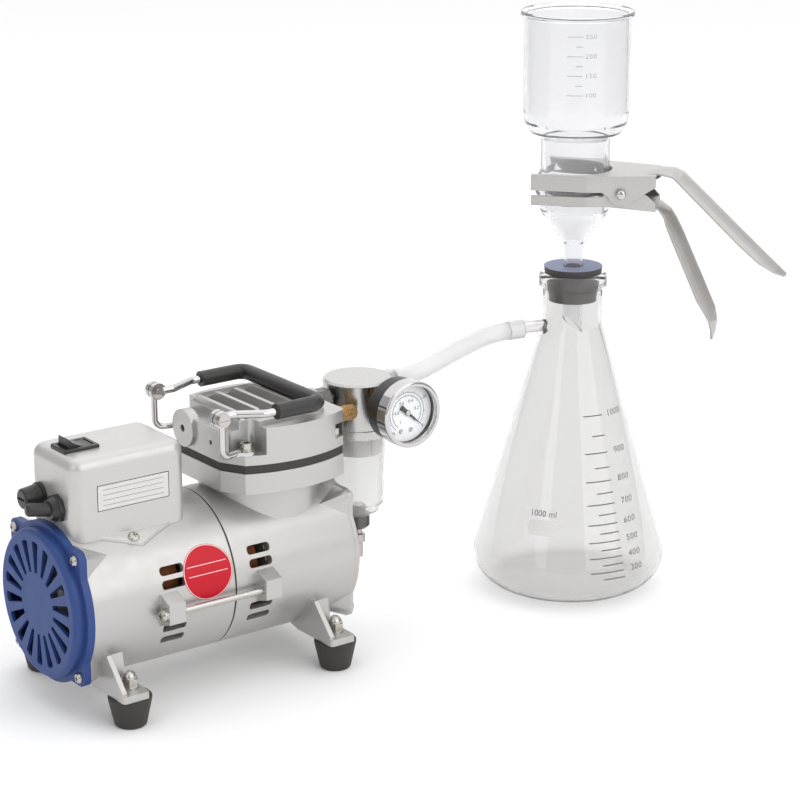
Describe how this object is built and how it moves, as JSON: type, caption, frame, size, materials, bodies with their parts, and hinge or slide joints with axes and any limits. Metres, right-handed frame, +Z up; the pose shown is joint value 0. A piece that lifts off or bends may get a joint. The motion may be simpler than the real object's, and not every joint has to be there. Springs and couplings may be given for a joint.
{
  "type": "vacuum filtration system",
  "caption": "Oil-free piston vacuum pump with moisture trap, gauge and hose, joined to a glass filter flask that carries a stoppered filter base and clamped funnel.",
  "frame": {"origin": "centre of the bounding box on the bench surface under the feet and the flask", "axes": "+Z up, +X from the pump to the flask along the motor axis, -Y is the front with the gauge"},
  "size_m": [0.5251, 0.2043, 0.409],
  "materials": {
    "silver_paint": "satin",
    "box_paint": "satin",
    "blue_guard": "satin",
    "black_rubber": "matt",
    "black_plastic": "satin",
    "grip_rubber": "satin",
    "zinc_steel": "bright",
    "machined_steel": "machined",
    "lamination": "dull",
    "copper_winding": "varnished",
    "cast_alloy": "machined",
    "seal_plastic": "matt",
    "plated_rod": "polished",
    "capacitor_can": "drawn",
    "dark_fitting": "dark",
    "sintered_brass": "sintered",
    "plain_brass": "machined",
    "trap_alloy": "satin",
    "clear_bowl": "clear plastic",
    "white_plastic": "satin",
    "filter_white": "porous",
    "dial_white": "matt print",
    "pointer_black": "matt",
    "case_black": "satin",
    "clear_glass": "clear",
    "stopper_rubber": "matt",
    "frit_white": "sintered",
    "clamp_alloy": "anodised",
    "spring_steel": "oiled",
    "clear_hose": "translucent"
  },
  "bodies": {
    "base": {"motor_housing": "silver_paint", "crankcase_housing": "silver_paint", "seam_gasket": "black_rubber", "fan_guard": "blue_guard", "end_cover": "silver_paint", "cover_screws": "zinc_steel", "motor_bearings": "machined_steel", "stator_core": "lamination", "stator_windings": "copper_winding", "cylinder_sleeve": "cast_alloy", "valve_plate": "machined_steel", "reed_valves": "spring_steel", "head_gasket": "black_rubber", "cylinder_head": "silver_paint", "head_screws": "zinc_steel", "tie_rods": "zinc_steel", "rubber_feet": "black_rubber", "foot_bolts": "zinc_steel", "handle_brackets": "plated_rod", "pivot_screws": "zinc_steel", "control_box": "box_paint", "switch_frame": "black_plastic", "fuse_holder": "black_plastic", "cable_gland": "black_plastic", "run_capacitor": "capacitor_can", "intake_nipple": "dark_fitting", "exhaust_silencer": "sintered_brass", "trap_head": "trap_alloy", "hose_barb": "plated_rod", "trap_bowl": "clear_bowl", "trap_baffle": "white_plastic", "filter_element": "filter_white", "drain_fitting": "black_plastic", "gauge_socket": "plain_brass", "gauge_case": "case_black", "gauge_bezel": "plated_rod", "gauge_lens": "clear_bowl", "gauge_dial": "dial_white", "filter_flask": "clear_glass", "vacuum_hose": "clear_hose"},
    "rotor": {"crankshaft": "machined_steel", "rotor_core": "lamination", "cooling_fan": "black_plastic"},
    "rod": {"connecting_rod": "cast_alloy", "crank_bearing": "machined_steel", "piston_cup": "seal_plastic"},
    "handle": {"handle_bail": "plated_rod", "handle_grip": "grip_rubber"},
    "rocker": {"switch_rocker": "black_plastic"},
    "fuse": {"fuse_cap": "black_plastic"},
    "pointer": {"gauge_pointer": "pointer_black"},
    "drain": {"drain_stem": "plain_brass"},
    "filter": {"rubber_stopper": "stopper_rubber", "filter_base": "clear_glass", "filter_disc": "frit_white", "funnel": "clear_glass"},
    "upper_jaw": {"clamp_upper_jaw": "clamp_alloy", "clamp_pin": "zinc_steel", "clamp_spring": "spring_steel"},
    "lower_jaw": {"clamp_lower_jaw": "clamp_alloy"}
  },
  "joints": [
    {"name": "rotor_spin", "type": "hinge", "parent": "base", "child": "rotor", "pos_m": [-0.0871, 0.0318, 0.0699], "axis": [1, 0, 0], "continuous": true},
    {"name": "rod_orbit", "type": "hinge", "parent": "rotor", "child": "rod", "pos_m": [-0.0871, 0.0318, 0.0729], "axis": [1, 0, 0], "continuous": true},
    {"name": "handle_fold", "type": "hinge", "parent": "base", "child": "handle", "pos_m": [-0.1406, 0.0318, 0.18], "axis": [0, -1, 0], "range_deg": [0, 110]},
    {"name": "switch_rock", "type": "hinge", "parent": "base", "child": "rocker", "pos_m": [-0.2236, 0.0303, 0.1685], "axis": [0, -1, 0], "range_deg": [0, 22]},
    {"name": "fuse_cap_turn", "type": "hinge", "parent": "base", "child": "fuse", "pos_m": [-0.2491, 0.0449, 0.1358], "axis": [-1, 0, 0], "range_deg": [0, 90]},
    {"name": "pointer_turn", "type": "hinge", "parent": "base", "child": "pointer", "pos_m": [-0.0056, -0.0202, 0.1632], "axis": [0, -1, 0], "range_deg": [0, 270]},
    {"name": "drain_push", "type": "slide", "parent": "base", "child": "drain", "axis": [0, 0, 1], "range_m": [0, 0.0025]},
    {"name": "filter_lift", "type": "slide", "parent": "base", "child": "filter", "axis": [0, 0, 1], "range_m": [0, 0.12]},
    {"name": "clamp_slide", "type": "slide", "parent": "filter", "child": "upper_jaw", "axis": [0.6756, -0.7373, 0], "range_m": [0, 0.09]},
    {"name": "clamp_open", "type": "hinge", "parent": "upper_jaw", "child": "lower_jaw", "pos_m": [0.18415, -0.0172, 0.289], "axis": [-0.7373, -0.6756, 0], "range_deg": [0, 16], "stiffness_Nm_per_rad": 0.5, "springref_deg": -20.05}
  ],
  "couplings": [
    {"joint": "rod_orbit", "follows": "rotor_spin", "ratio": -1}
  ]
}
